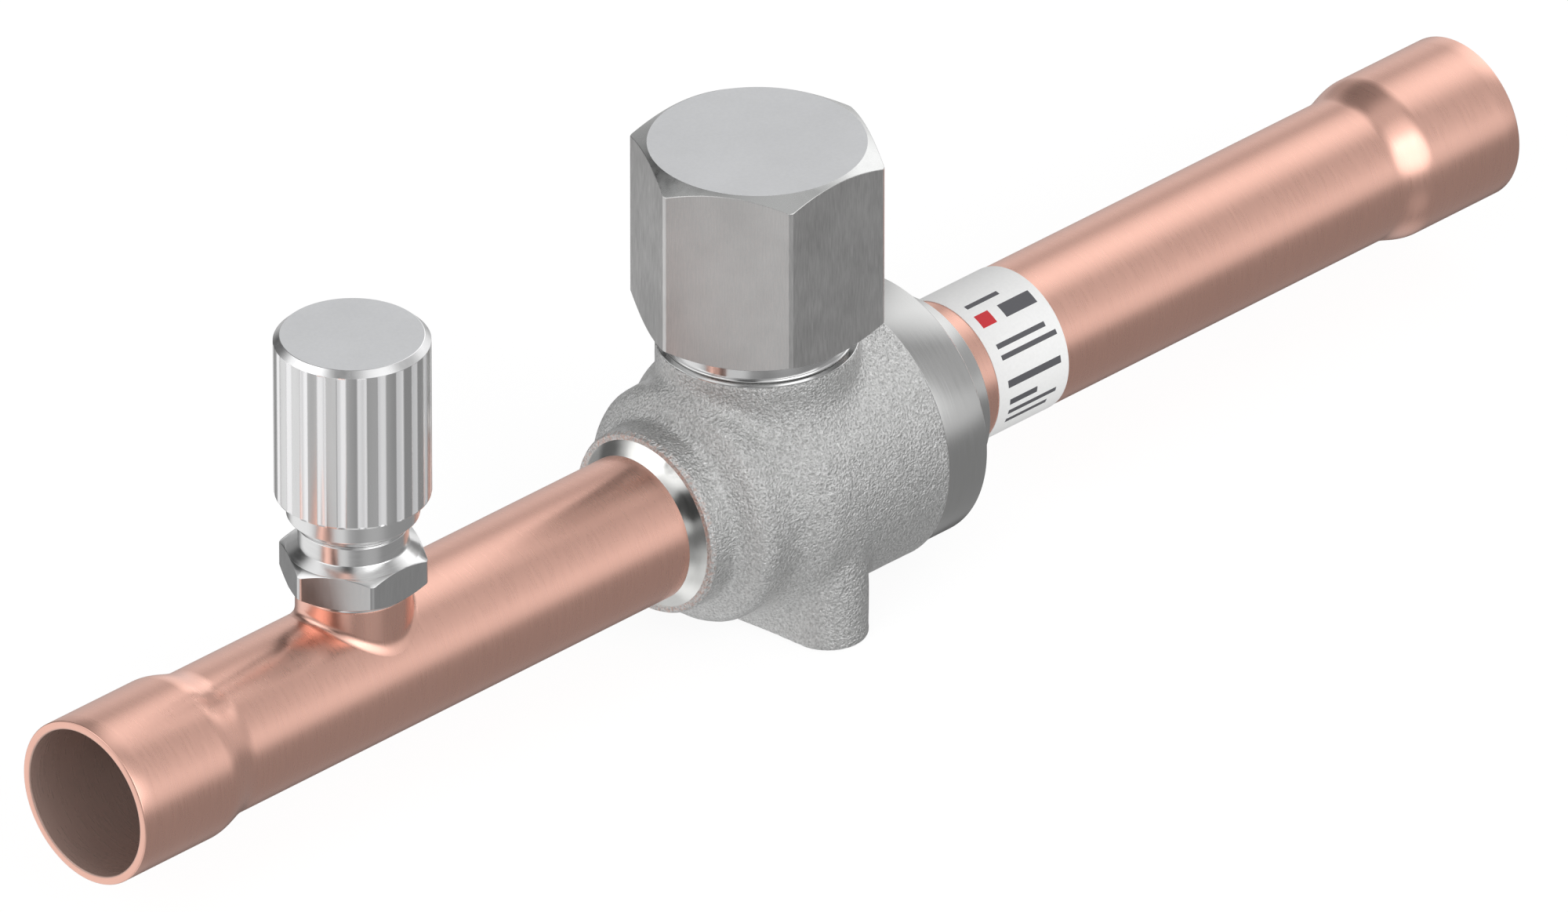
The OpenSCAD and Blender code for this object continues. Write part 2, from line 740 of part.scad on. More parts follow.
module core_pin() {
    color(brass) up_port()
        turned([[0, core_pin_bottom], [core_pin_head_r, core_pin_bottom],
                [core_pin_head_r, core_seal_bottom], [core_pin_r, core_seal_bottom],
                [core_pin_r, core_collar_bottom], [core_collar_r, core_collar_bottom],
                [core_collar_r, core_collar_bottom + 0.4], [core_pin_r, core_collar_bottom + 0.6],
                [core_pin_r, core_top + 0.1], [0.3, core_top + 0.3], [0, core_top + 0.3]]);
}

module core_seal() {
    color(black_rubber) up_port()
        tube_ring(core_pin_head_r, core_pin_r + 0.02, core_seal_bottom, core_bottom - 0.05);
}

// Coil spring: a small hexagonal wire carried round a helix, as one closed skin
module core_spring() {
    coil_r = 0.82;
    wire_r = 0.11;
    turns = 6;
    steps = 14;
    sides = 6;
    base = core_spring_floor + wire_r + 0.02;
    rise = core_collar_bottom - core_spring_floor - 2 * wire_r - 0.04;
    last = turns * steps;
    points = [for (i = [0 : last], k = [0 : sides - 1])
        let (turn = 360 * i / steps, round = 360 * k / sides, r = coil_r + wire_r * cos(round))
        [r * cos(turn), r * sin(turn), base + rise * i / last + wire_r * sin(round)]];
    skin = [for (i = [0 : last - 1], k = [0 : sides - 1])
        let (a = i * sides + k, b = i * sides + (k + 1) % sides)
        each [[a, b, a + sides], [b, b + sides, a + sides]]];
    ends = [[for (k = [sides - 1 : -1 : 0]) k], [for (k = [0 : sides - 1]) last * sides + k]];
    color(steel_turned) up_port() polyhedron(points, concat(skin, ends), convexity = 8);
}

module label() {
    color(paper) along_tubes()
        tube_ring(tube_r + label_thickness, tube_r, label_start, label_start + label_width);
}

body();
end_piece();
body_o_ring();
port_tube();
plain_tube();
port_tube_braze();
plain_tube_braze();
ball();
port_side_seat();
plain_side_seat();
port_side_o_ring();
plain_side_o_ring();
stem();
stop_pin();
thrust_washer();
lower_stem_o_ring();
upper_stem_o_ring();
seal_cap();
seal_cap_gasket();
port_fitting();
port_fitting_braze();
port_cap();
port_cap_seal();
core_body();
core_gasket();
core_pin();
core_seal();
core_spring();
label();
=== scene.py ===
import math

import bmesh
import bpy
import numpy as np
from mathutils import Matrix, Vector


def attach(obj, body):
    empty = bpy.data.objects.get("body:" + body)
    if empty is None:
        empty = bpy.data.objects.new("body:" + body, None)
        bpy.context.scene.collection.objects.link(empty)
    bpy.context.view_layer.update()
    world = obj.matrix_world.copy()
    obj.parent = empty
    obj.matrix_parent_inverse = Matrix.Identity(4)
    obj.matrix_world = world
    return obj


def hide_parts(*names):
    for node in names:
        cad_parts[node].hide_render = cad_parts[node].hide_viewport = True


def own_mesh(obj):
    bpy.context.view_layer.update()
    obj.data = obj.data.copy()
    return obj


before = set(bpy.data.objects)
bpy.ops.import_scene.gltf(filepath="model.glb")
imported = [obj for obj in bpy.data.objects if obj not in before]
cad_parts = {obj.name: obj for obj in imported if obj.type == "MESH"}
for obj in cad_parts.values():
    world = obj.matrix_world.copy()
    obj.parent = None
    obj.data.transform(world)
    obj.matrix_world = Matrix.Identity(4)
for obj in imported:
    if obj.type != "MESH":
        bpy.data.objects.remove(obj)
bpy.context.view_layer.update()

# ---------------------------------------------------------------- camera
# A very long lens far away, so that the view is as good as parallel: from the left front,
# 30 degrees above the tubes. The lengths along the picture are in metres.
toward_camera = np.array([-0.61237, -0.61237, 0.5])
picture_right = np.array([0.70711, -0.70711, 0.0])
picture_up = np.cross(toward_camera, picture_right)
ball_centre = np.array([0.0, 0.0, 0.0154])
right_of_ball, above_ball = 0.002750, 0.001110
frame_centre = ball_centre + right_of_ball * picture_right + above_ball * picture_up
frame_width = 0.16165
lens, sensor = 900.0, 36.0
camera_data = bpy.data.cameras.new("camera")
camera_data.lens = lens
camera_data.sensor_width = sensor
camera_data.clip_start = 0.5
camera_data.clip_end = 20.0
camera = bpy.data.objects.new("camera", camera_data)
bpy.context.scene.collection.objects.link(camera)
camera.location = frame_centre + toward_camera * frame_width * lens / sensor
camera.rotation_mode = "QUATERNION"
axes = np.stack([picture_right, picture_up, toward_camera], 1)
camera.rotation_quaternion = Matrix(axes.tolist()).to_quaternion()
bpy.context.scene.camera = camera
bpy.context.scene.view_settings.view_transform = "Standard"


# ---------------------------------------------------------------- studio light
# A white room for the camera. What the metal mirrors is the studio itself: grey walls with soft
# boxes and dark cards, and a table that is light on the left and grey at the front and right.
class Nodes:
    """Short ways to make the nodes of one tree. An input goes by its name, or by its number as i0,
    i1 and so on, and is a number, a colour or the output of another node."""

    def __init__(self, tree):
        self.tree = tree
        tree.nodes.clear()

    def make(self, kind, settings=None, **inputs):
        """New node of a kind, with its settings and its inputs filled in."""
        node = self.tree.nodes.new("ShaderNode" + kind)
        for key, value in (settings or {}).items():
            setattr(node, key, value)
        for key, value in inputs.items():
            numbered = key[0] == "i" and key[1:].isdigit()
            socket = node.inputs[int(key[1:]) if numbered else key]
            if isinstance(value, bpy.types.NodeSocket):
                self.tree.links.new(value, socket)
            else:
                socket.default_value = value
        return node

    def maths(self, operation, *values):
        """Result of a sum, product or other operation on one to three values."""
        inputs = {f"i{number}": value for number, value in enumerate(values)}
        return self.make("Math", {"operation": operation}, **inputs).outputs[0]

    def vector(self, operation, *values, result=0):
        """Result of an operation on one or two vectors."""
        inputs = {f"i{number}": value for number, value in enumerate(values)}
        return self.make("VectorMath", {"operation": operation}, **inputs).outputs[result]

    def ramp(self, value, low, high, start=0.0, end=1.0, rise="LINEAR"):
        """The start where a value is at low, the end where it is at high, a rise between them."""
        return self.make("MapRange", {"interpolation_type": rise}, i0=value, i1=low, i2=high,
                         i3=start, i4=end).outputs[0]

    def blend(self, share, first, second):
        """Colour between two, by the share of the second."""
        return self.make("Mix", {"data_type": "RGBA"}, i0=share, i6=first, i7=second).outputs[2]

    def noise(self, place, scale, detail, roughness=0.5):
        """Noise of a place: one scale for all ways, or one for each of X, Y and Z."""
        if isinstance(scale, tuple):
            place, scale = self.make("Mapping", i0=place, i3=scale).outputs[0], 1.0
        return self.make("TexNoise", i0=place, Scale=scale, Detail=detail,
                         Roughness=roughness).outputs[0]

    def tilt(self, height, strength, distance=0.00002):
        """Surface direction that leans with the slope of a height."""
        return self.make("Bump", Strength=strength, Distance=distance, Height=height).outputs[0]

    def finish(self, tint, metal, rough, tilt):
        """Joins colour, metalness, roughness and surface direction to the material's output."""
        shader = self.make("BsdfPrincipled", **{"Base Color": tint, "Metallic": metal,
                                                "Roughness": rough, "Normal": tilt})
        self.make("OutputMaterial", Surface=shader.outputs[0])


world = bpy.data.worlds.new("studio")
bpy.context.scene.world = world
world.use_nodes = True
room = Nodes(world.node_tree)
look = room.vector("NORMALIZE", room.make("TexCoord").outputs["Generated"])


def lit_by(level, boxes):
    """A plain level plus soft boxes, as rows of azimuth, elevation, inner and outer angle, all in
    degrees, and strength. Within the inner angle of its direction a box has its full strength, and
    at the outer one it has faded to nothing. A box of negative strength is a dark card."""
    for azimuth, elevation, inner, outer, strength in boxes:
        a, e = math.radians(azimuth), math.radians(elevation)
        toward = (math.cos(e) * math.cos(a), math.cos(e) * math.sin(a), math.sin(e))
        near = room.vector("DOT_PRODUCT", look, toward, result="Value")
        box = room.ramp(near, math.cos(math.radians(outer)), math.cos(math.radians(inner)), 0.0,
                        strength, "SMOOTHSTEP")
        level = room.maths("ADD", box, level)
    return level


walls = lit_by(0.52, [
    (-85, 23, 17, 31, 1.2), (-84, 50, 10, 25, 0.5), (-112, 12, 12, 30, 0.5),
    (92, 36, 6, 18, -0.22), (138, 42, 14, 30, 0.75), (172, 34, 10, 28, 0.6),
    (-148, 20, 7, 20, -0.55), (-140, 2, 6, 22, -0.26), (95, 4, 10, 26, -0.4),
    (10, 36, 12, 32, 0.75), (30, 8, 10, 30, 0.42), (72, 50, 16, 38, -0.3),
    (-158, 60, 6, 18, -0.25), (-8, 8, 8, 24, 0.1), (10, 85, 6, 24, 0.12),
    (-52, 3, 5, 18, 0.25), (-16, 50, 6, 20, -0.13), (70, 3, 6, 16, -0.13), (2, 36, 5, 14, 0.25)])
table = lit_by(0.29, [
    (122, -28, 16, 40, 0.62), (46, -32, 8, 26, -0.18), (-139, -8, 3, 22, -0.14),
    (-143, -31, 4, 16, 0.1), (-98, -47, 12, 28, 0.2), (-170, -33, 8, 28, 0.42),
    (-142, -66, 10, 32, 0.36), (92, -78, 16, 40, 0.32), (48, -10, 8, 24, 0.36),
    (-52, 3, 5, 18, 0.25)])
darkest, plain_strength = 0.04, 0.62
upright = room.make("SeparateXYZ", i0=look).outputs[2]
above = room.ramp(upright, -0.16, 0.0, rise="SMOOTHSTEP")
level = room.make("Mix", i0=above, i2=table, i3=walls).outputs[0]
level = room.maths("MAXIMUM", level, darkest)
# The camera sees white, what mirrors sees the studio, and all else one plain grey
mirrored_room, plain_room, white_room = (
    room.make("Background", Color=(1, 1, 1, 1), Strength=strength).outputs[0]
    for strength in (level, plain_strength, 1.0))
ray = room.make("LightPath").outputs
mirrored = room.maths("MAXIMUM", ray["Is Glossy Ray"], ray["Is Transmission Ray"])
background = room.make("MixShader", i0=mirrored, i1=plain_room, i2=mirrored_room).outputs[0]
background = room.make("MixShader", i0=ray["Is Camera Ray"], i1=background,
                       i2=white_room).outputs[0]
room.make("OutputWorld", Surface=background)

# Two wide soft lamps for what isn't mirror-like: they light the label and make the shadow
lamp_data = bpy.data.lights.new("soft_lamp", "AREA")
lamp_data.shape = "DISK"
lamp_data.size = 0.7
lamp_data.energy = 3.6
for name, place in [("front_lamp", (-0.1, -0.95, 0.55)), ("left_lamp", (-0.85, -0.3, 0.38))]:
    lamp = bpy.data.objects.new(name, lamp_data)
    bpy.context.scene.collection.objects.link(lamp)
    lamp.location = place
    aim = Vector(ball_centre) - lamp.location
    lamp.rotation_euler = aim.to_track_quat("-Z", "Y").to_euler()
    lamp.visible_glossy = False

# The floor: a white sheet that shows only to the camera, with the object's soft shadow on it
floor_reach, floor_z, floor_glow = 3.0, -0.0002, 0.885
floor_mesh = bpy.data.meshes.new("floor")
floor_mesh.from_pydata([(x * floor_reach, y * floor_reach, floor_z)
                        for x, y in [(-1, -1), (1, -1), (1, 1), (-1, 1)]], [], [(0, 1, 2, 3)])
floor = bpy.data.objects.new("floor", floor_mesh)
bpy.context.scene.collection.objects.link(floor)
floor.visible_glossy = floor.visible_diffuse = False
floor.visible_transmission = floor.visible_shadow = False
floor_paper = bpy.data.materials.new("floor_paper")
floor_paper.use_nodes = True
floor_paper.cycles.emission_sampling = "NONE"
nodes = Nodes(floor_paper.node_tree)
shadow = nodes.make("BsdfDiffuse", Color=(0.16, 0.16, 0.16, 1)).outputs[0]
glow = nodes.make("Emission", Color=(1, 1, 1, 1), Strength=floor_glow).outputs[0]
nodes.make("OutputMaterial", Surface=nodes.make("AddShader", i0=shadow, i1=glow).outputs[0])
floor_mesh.materials.append(floor_paper)

# ---------------------------------------------------------------- body casting
# The valve's body is one steel casting, blasted to a fine grain: a barrel round the ball, a
# rounded shoulder and end collar on the side of the service port, the stem's collar on top and
# the foot below, all run together with soft fillets. Lengths are in mm from the ball's centre.
AXIS_HEIGHT = 15.4


def rounded(path, steps=6):
    """Path of (x, y, radius) corners with each corner replaced by an arc that is tangent to both
    sides."""
    path = np.asarray(path, float)
    point, radius = path[:, :2], path[:, 2:]
    back, ahead = np.roll(point, 1, 0) - point, np.roll(point, -1, 0) - point
    back /= np.linalg.norm(back, axis=1, keepdims=True)
    ahead /= np.linalg.norm(ahead, axis=1, keepdims=True)
    half = np.arccos(np.clip((back * ahead).sum(1, keepdims=True), -1, 1)) / 2
    middle = back + ahead
    middle /= np.maximum(np.linalg.norm(middle, axis=1, keepdims=True), 1e-9)
    centre = point + middle * radius / np.sin(half)
    first = point + back * radius / np.tan(half) - centre
    last = point + ahead * radius / np.tan(half) - centre
    start = np.arctan2(first[:, 1], first[:, 0])[:, None]
    turn = np.arctan2(first[:, 0] * last[:, 1] - first[:, 1] * last[:, 0],
                      (first * last).sum(1))[:, None]
    angle = start + turn * np.linspace(0, 1, steps)
    arc = centre[:, None, :] + radius[:, None, :] * np.stack([np.cos(angle), np.sin(angle)], -1)
    flat = arc.reshape(-1, 2)
    keep = np.ones(len(flat), bool)
    keep[1:] = np.linalg.norm(np.diff(flat, axis=0), axis=1) > 1e-4
    return flat[keep]


def around(axis, outline, columns, centre=(0.0, 0.0)):
    """Grid of points turned about an axis: rows follow the outline and columns go round. The
    outline is pairs of radius and place, and each of a pair is one number for the whole row, one
    value a column, or such values for several rows."""
    rows = [np.broadcast_arrays(np.atleast_2d(radius), np.atleast_2d(place), np.ones((1, columns)))
            for radius, place in outline]
    radius, place, _ = (np.concatenate(part) for part in zip(*rows))
    turn = np.linspace(0, 2 * np.pi, columns, endpoint=False)[None, :]
    if axis == "x":
        points = [place, radius * np.cos(turn), radius * np.sin(turn) + AXIS_HEIGHT]
    else:
        points = [centre[0] + radius * np.cos(turn), centre[1] + radius * np.sin(turn),
                  place + AXIS_HEIGHT]
    return np.stack(points, -1)


def piece(name, sheets, materials, sharp=32.0):
    """Object made of sheets, each (grid in mm, rows join into a loop, material number). Four
    neighbouring points of a grid make a face, its last column joins its first, doubles are merged
    and the faces turned outwards. Edges sharper than the angle stay crisp."""
    points, faces, kinds, count = [], [], [], 0
    for grid, loop, kind in sheets:
        rows, columns = grid.shape[:2]
        here = count + np.arange(rows * columns).reshape(rows, columns)
        beside = np.roll(here, -1, 1)
        quads = np.stack([here, beside, np.roll(beside, -1, 0), np.roll(here, -1, 0)], -1)
        quads = quads[: rows if loop else rows - 1].reshape(-1, 4)
        points.append(grid.reshape(-1, 3))
        faces.append(quads)
        kinds.append(np.full(len(quads), kind))
        count += rows * columns
    points, faces, kinds = np.concatenate(points), np.concatenate(faces), np.concatenate(kinds)
    mesh = bpy.data.meshes.new(name)
    mesh.from_pydata((points * 0.001).tolist(), [], faces.tolist())
    for material in materials:
        mesh.materials.append(material)
    mesh.polygons.foreach_set("material_index", kinds.astype(np.int32))
    work = bmesh.new()
    work.from_mesh(mesh)
    bmesh.ops.remove_doubles(work, verts=work.verts, dist=1e-6)
    bmesh.ops.recalc_face_normals(work, faces=work.faces)
    work.to_mesh(mesh)
    work.free()
    mesh.shade_smooth()
    mesh.set_sharp_from_angle(angle=math.radians(sharp))
    made = bpy.data.objects.new(name, mesh)
    bpy.context.scene.collection.objects.link(made)
    return made


def new_material(name):
    """Material with an empty tree, what makes its nodes, and the place on the object."""
    material = bpy.data.materials.new(name)
    material.use_nodes = True
    nodes = Nodes(material.node_tree)
    return material, nodes, nodes.make("TexCoord").outputs["Object"]


def finish_of(name, colour, roughness, grain, bump, depth=0.00002, patch=0.04, metallic=1.0,
              spread=0.05):
    """Material from a noise that is stretched along the way the surface was worked. It moves the
    roughness, tilts the surface and, with a second slow noise, shifts the colour a little."""
    material, nodes, place = new_material(name)
    fine = nodes.noise(place, grain, 3.0, 0.6)
    slow = nodes.noise(place, 140.0, 2.0)
    dark = tuple(c * (1 - patch) for c in colour) + (1,)
    light = tuple(min(1, c * (1 + patch)) for c in colour) + (1,)
    share = nodes.ramp(nodes.maths("ADD", fine, slow), 0.7, 1.3)
    tint = nodes.blend(share, dark, light)
    rough = nodes.ramp(fine, 0.3, 0.7, roughness - spread, roughness + spread)
    nodes.finish(tint, metallic, rough, nodes.tilt(fine, bump, depth))
    return material


def cast_finish():
    """Blasted casting: small grains that catch the light and rounder pits, with a few specks of a
    copper colour at the brazed end."""
    material, nodes, place = new_material("cast_steel")
    grains = nodes.noise(place, 3700.0, 3.0, 0.6)
    pits = nodes.make("TexVoronoi", {"feature": "SMOOTH_F1"}, i0=place, Scale=3000.0)
    height = nodes.maths("MULTIPLY_ADD", pits.outputs["Distance"], 0.3, grains)
    tone = nodes.ramp(grains, 0.3, 0.7)
    steel = nodes.blend(tone, (0.49, 0.49, 0.485, 1), (0.91, 0.91, 0.905, 1))
    along = nodes.make("SeparateXYZ", i0=place).outputs[0]
    brazed_end = nodes.ramp(along, -0.0157, -0.0163)
    speck = nodes.ramp(nodes.noise(place, 2600.0, 1.0), 0.5, 0.64, 0.0, 0.5)
    speck = nodes.maths("MULTIPLY", speck, brazed_end)
    tint = nodes.blend(speck, steel, (0.72, 0.46, 0.38, 1))
    rough = nodes.ramp(grains, 0.3, 0.7, 0.4, 0.3)
    nodes.finish(tint, 1.0, rough, nodes.tilt(height, 1.0, 0.00025))
    return material


body_left, body_face = -16.47, 13.23
barrel_outline = rounded([
    (8.0, body_left, 0), (9.77, body_left, 0), (10.05, body_left + 0.5, 0.3), (10.05, -13.2, 1.2),
    (13.17, -11.2, 2.2), (13.17, -7.0, 4.0), (15.0, -3.4, 5.0),
    (15.0, body_face - 0.25, 0.2), (14.8, body_face, 0), (11.4, body_face, 0)])
bare_from_left, bare_from_face = 9.7, 11.5
shows = barrel_outline[:, 0] > np.where(barrel_outline[:, 1] < 0, bare_from_left, bare_from_face)
outside = barrel_outline[shows]
outline_radius, outline_place = outside[:, 0], outside[:, 1]
stem_collar_r, stem_collar_top, stem_collar_edge = 10.6, 15.45, 0.35
foot_end, foot_half_middle, foot_half_end, foot_edge = 10.28, 4.97, 4.25, 0.5


def blend_of(a, b, width):
    """Smooth lower bound of two fields: where they differ by less than the width, it dips below
    both."""
    mix = np.clip(0.5 + 0.5 * (b - a) / width, 0, 1)
    return b + (a - b) * mix - width * mix * (1 - mix)


def casting_field(x, y, z):
    """Below zero inside the casting: the turned barrel, the stem's collar and the foot's tapered
    slot shape, joined by smooth lower bounds, with the foot cut off at its base and the collar at
    its top."""
    barrel = np.hypot(y, z) - np.interp(x, outline_place, outline_radius)
    collar = -blend_of(stem_collar_r - np.hypot(x, y), stem_collar_top - z, stem_collar_edge)
    collar = np.maximum(collar, -z)
    foot_side = np.abs(y)
    foot_half = np.interp(foot_side, [0, foot_end], [foot_half_middle, foot_half_end])
    foot = np.hypot(x, np.maximum(foot_side - foot_end, 0)) - foot_half
    foot = np.maximum(foot, z)
    collar_blend = np.interp(y, [-8, 6], [1.7, 0.8]) * np.interp(x, [0, 8], [1.0, 0.7])
    foot_blend = np.interp(foot_side, [6, 13.5], [2.6, 0.8])
    field = blend_of(blend_of(barrel, collar, collar_blend), foot, foot_blend)
    return -blend_of(-field, AXIS_HEIGHT + z, foot_edge)


def casting_skin(columns=460, longest=0.24, halvings=26, wave=0.035, sunk=0.05, ridge=0.09):
    """Closed grid. Its outer rows follow the barrel's outline as rays from the ball's centre, and
    each ray is cut by halving steps where the casting's field turns positive. Sine waves make the
    skin uneven and a thin wavy ridge is the seam of its mould. Its inner rows are the bores."""
    step = np.linalg.norm(np.diff(outside, axis=0), axis=1)
    along = np.concatenate([[0], np.cumsum(step)])
    fine = np.unique(np.concatenate([along, np.arange(0, along[-1], longest)]))
    radius, place = np.interp(fine, along, outline_radius), np.interp(fine, along, outline_place)
    turn = np.linspace(0, 2 * np.pi, columns, endpoint=False)[None, :]
    length = np.hypot(radius, place)[:, None]
    out = radius[:, None] / length
    ray = np.stack(np.broadcast_arrays(place[:, None] / length, out * np.cos(turn),
                                       out * np.sin(turn)), -1)
    low, high = np.full(ray.shape[:2], 9.0), np.full(ray.shape[:2], 26.0)
    for _ in range(halvings):
        middle = (low + high) / 2
        inside = casting_field(*(ray * middle[..., None]).transpose(2, 0, 1)) < 0
        low, high = np.where(inside, middle, low), np.where(inside, high, middle)
    skin = ray * low[..., None]
    x, y, z = skin.transpose(2, 0, 1)
    uneven = (np.sin(0.9 * x + 1.3 * y + 0.4) * np.sin(1.1 * z - 0.7 * x)
              + np.sin(2.3 * y + 1.9 * z) * 0.5 * np.sin(2.1 * x + 0.8)) * wave - sunk
    calm_rim = (np.clip(x - body_left, 0, 1) * np.clip((body_face - 0.5 - x) / 0.6, 0, 1)
                * np.clip((z + 15.2) / 0.6, 0, 1))
    seam = (np.exp(-((z + 1.0 + 0.18 * np.sin(2.9 * x)) / 0.22) ** 2)
            * np.clip((x - 3.6) / 0.8, 0, 1) * np.clip((11.6 - x) / 0.8, 0, 1)
            * (y < 0) * (0.55 + 0.45 * np.sin(5.3 * x + 1.0)))
    skin = skin + ray * ((uneven + ridge * seam) * calm_rim)[..., None]
    skin[..., 2] += AXIS_HEIGHT
    bores = [(14.6, body_face), (11.4, body_face), (11.4, -5.6), (8.685, -5.6), (8.685, -8.9),
             (6.35, -8.9), (6.35, -11.27), (8.0, -11.27), (8.0, body_left)]
    return np.concatenate([skin, around("x", bores, columns)])


cast_steel = cast_finish()
casting = piece("body_casting", [(casting_skin(), True, 0)], [cast_steel], sharp=40)
# The stem's bore, the recess for the neck's root and the two tapped holes are drilled out
stem_bore = [(0, 2.0), (6.2, 2.0), (6.2, 13.4), (4.5, 13.4), (4.5, 15.2), (10.43, 15.2),
             (10.43, 18.0), (0, 18.0)]
tapped_hole = [(0, -18.0), (1.65, -18.0), (1.65, -7.9), (0, -6.95)]
drills = [(around("z", stem_bore, 144), False, 0)]
drills += [(around("z", tapped_hole, 32, (0, side * foot_end)), False, 0) for side in (-1, 1)]
cutter = piece("drills", drills, [cast_steel])
cut = casting.modifiers.new("bores", "BOOLEAN")
cut.operation = "DIFFERENCE"
cut.object = cutter
drilled = casting.evaluated_get(bpy.context.evaluated_depsgraph_get())
bored = bpy.data.meshes.new_from_object(drilled)
casting.modifiers.clear()
casting.data = bored
bpy.data.objects.remove(cutter)
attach(casting, "valve")
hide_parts("body")

# ---------------------------------------------------------------- neck
# The top of the casting is machined: a flat ring on the collar, a polished neck with a fillet at
# its root and the seal cap's thread, and two quarter windows in its top for the stop pin.
neck_r, neck_base, neck_top, neck_columns = 9.525, 15.42, 24.5, 180
ring_r, ring_foot, neck_fillet = 10.45, 15.1, 0.36
neck_pitch, neck_thread_depth, thread_start, thread_end = 1.5875, 0.8, 18.4, 23.7
stem_bore_r, stem_bore_foot = 4.5, 15.0
window_r, window_floor, pin_half_angle = 6.3, 21.0, 11.9


def thread_radius(place, radius, pitch, depth, start, end, columns):
    """Radius of a V thread: it falls from the crest by the depth as a triangle wave of height over
    pitch less the share of a turn. The depth fades in over one pitch and out in half of that."""
    turns = np.linspace(0, 1, columns, endpoint=False)[None, :]
    phase = np.mod(place / pitch - turns, 1)
    valley = np.clip(1 - np.abs(2 * phase - 1) * 1.25, 0, 1)
    fade = np.clip((place - start) / pitch, 0, 1) * np.clip((end - place) / (0.4 * pitch), 0, 1)
    return radius - depth * valley * fade


bend = np.radians(np.arange(0, 91, 10))[:, None]
fillet_r = neck_r + neck_fillet * (1 - np.sin(bend))
fillet_place = neck_base + neck_fillet * (1 - np.cos(bend))
thread_place = np.arange(thread_start, thread_end, 0.1)[:, None]
thread_r = thread_radius(thread_place, neck_r, neck_pitch, neck_thread_depth, thread_start,
                         thread_end, neck_columns)
degrees = np.arange(neck_columns) * 360 / neck_columns
in_window = np.abs((degrees + 45) % 180 - 90) < 45 + pin_half_angle
top_bore = np.where(in_window, window_r, stem_bore_r)
neck_outline = [
    (ring_r, ring_foot), (ring_r, neck_base - 0.04), (ring_r - 0.05, neck_base),
    (fillet_r, fillet_place), (thread_r, thread_place), (neck_r, thread_end + 0.1),
    (neck_r - 0.7, neck_top), (top_bore, neck_top), (top_bore, window_floor),
    (stem_bore_r, window_floor), (stem_bore_r, stem_bore_foot)]
neck_steel = finish_of("machined_neck", (0.74, 0.74, 0.74), 0.13, (300, 300, 5000), 0.05)
neck = piece("body_neck", [(around("z", neck_outline, neck_columns), True, 0)], [neck_steel])
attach(neck, "valve")

# ---------------------------------------------------------------- end piece
# The end piece is turned from bar: a satin ring against the body's face and a short neck that
# takes the plain tube. Its spigot holds the seat and is pressed and welded into the barrel.
end_outline = rounded([
    (9.75, 5.7, 0), (11.35, 7.3, 0), (11.35, 10.48, 0), (10.07, 10.48, 0), (10.07, 12.08, 0),
    (11.35, 12.08, 0), (11.35, 13.24, 0), (14.45, 13.24, 0), (14.6, 13.39, 0.05),
    (14.6, 18.9, 0.05), (14.3, 19.2, 0.05), (10.27, 19.2, 0.12), (10.27, 23.75, 0.05),
    (10.07, 23.95, 0.05), (8.6, 23.95, 0.03), (8.0, 23.35, 0), (8.0, 15.95, 0), (6.35, 15.95, 0),
    (6.35, 8.9, 0), (8.685, 8.9, 0), (8.685, 5.7, 0)], 4)
turned_steel = finish_of("satin_turned_steel", (0.60, 0.60, 0.595), 0.22, (5200, 200, 200), 0.05,
                         patch=0.03, spread=0.03)
end_piece = piece("end_piece_turned", [(around("x", end_outline, 144), True, 0)], [turned_steel])
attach(end_piece, "valve")
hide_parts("end_piece")

# ---------------------------------------------------------------- tubes
# Two lengths of 15.9 mm copper tube, each swaged out to a solder socket at its mouth and finely
# brushed round. The port's tube has a collar drawn out of its wall for the service port.
tube_r, tube_bore, socket_bore, socket_r = 7.9375, 6.8875, 8.0, 8.93
socket_depth, swage_length = 12.2, 4.9
port_mouth, plain_mouth, tube_columns = 96.6, 103.8, 160


def tube_outline(inner_end, mouth):
    """Closed outline of a tube: both walls follow half a cosine wave through the swaged step, and
    the mouth's edges are rounded."""
    share = np.linspace(0, 1, 19)
    rise = (1 - np.cos(np.pi * share)) / 2
    place = mouth - socket_depth - swage_length + swage_length * share
    outer = np.stack([tube_r + (socket_r - tube_r) * rise, place], 1)
    inner = np.stack([tube_bore + (socket_bore - tube_bore) * rise, place], 1)[::-1]
    lip = rounded([(socket_r, mouth - 2, 0), (socket_r, mouth, 0.14), (socket_bore, mouth, 0.14),
                   (socket_bore, mouth - 2, 0)], 5)
    foot = [(tube_bore, inner_end), (tube_r - 0.15, inner_end), (tube_r, inner_end + 0.15)]
    return np.concatenate([foot, outer, lip, inner])


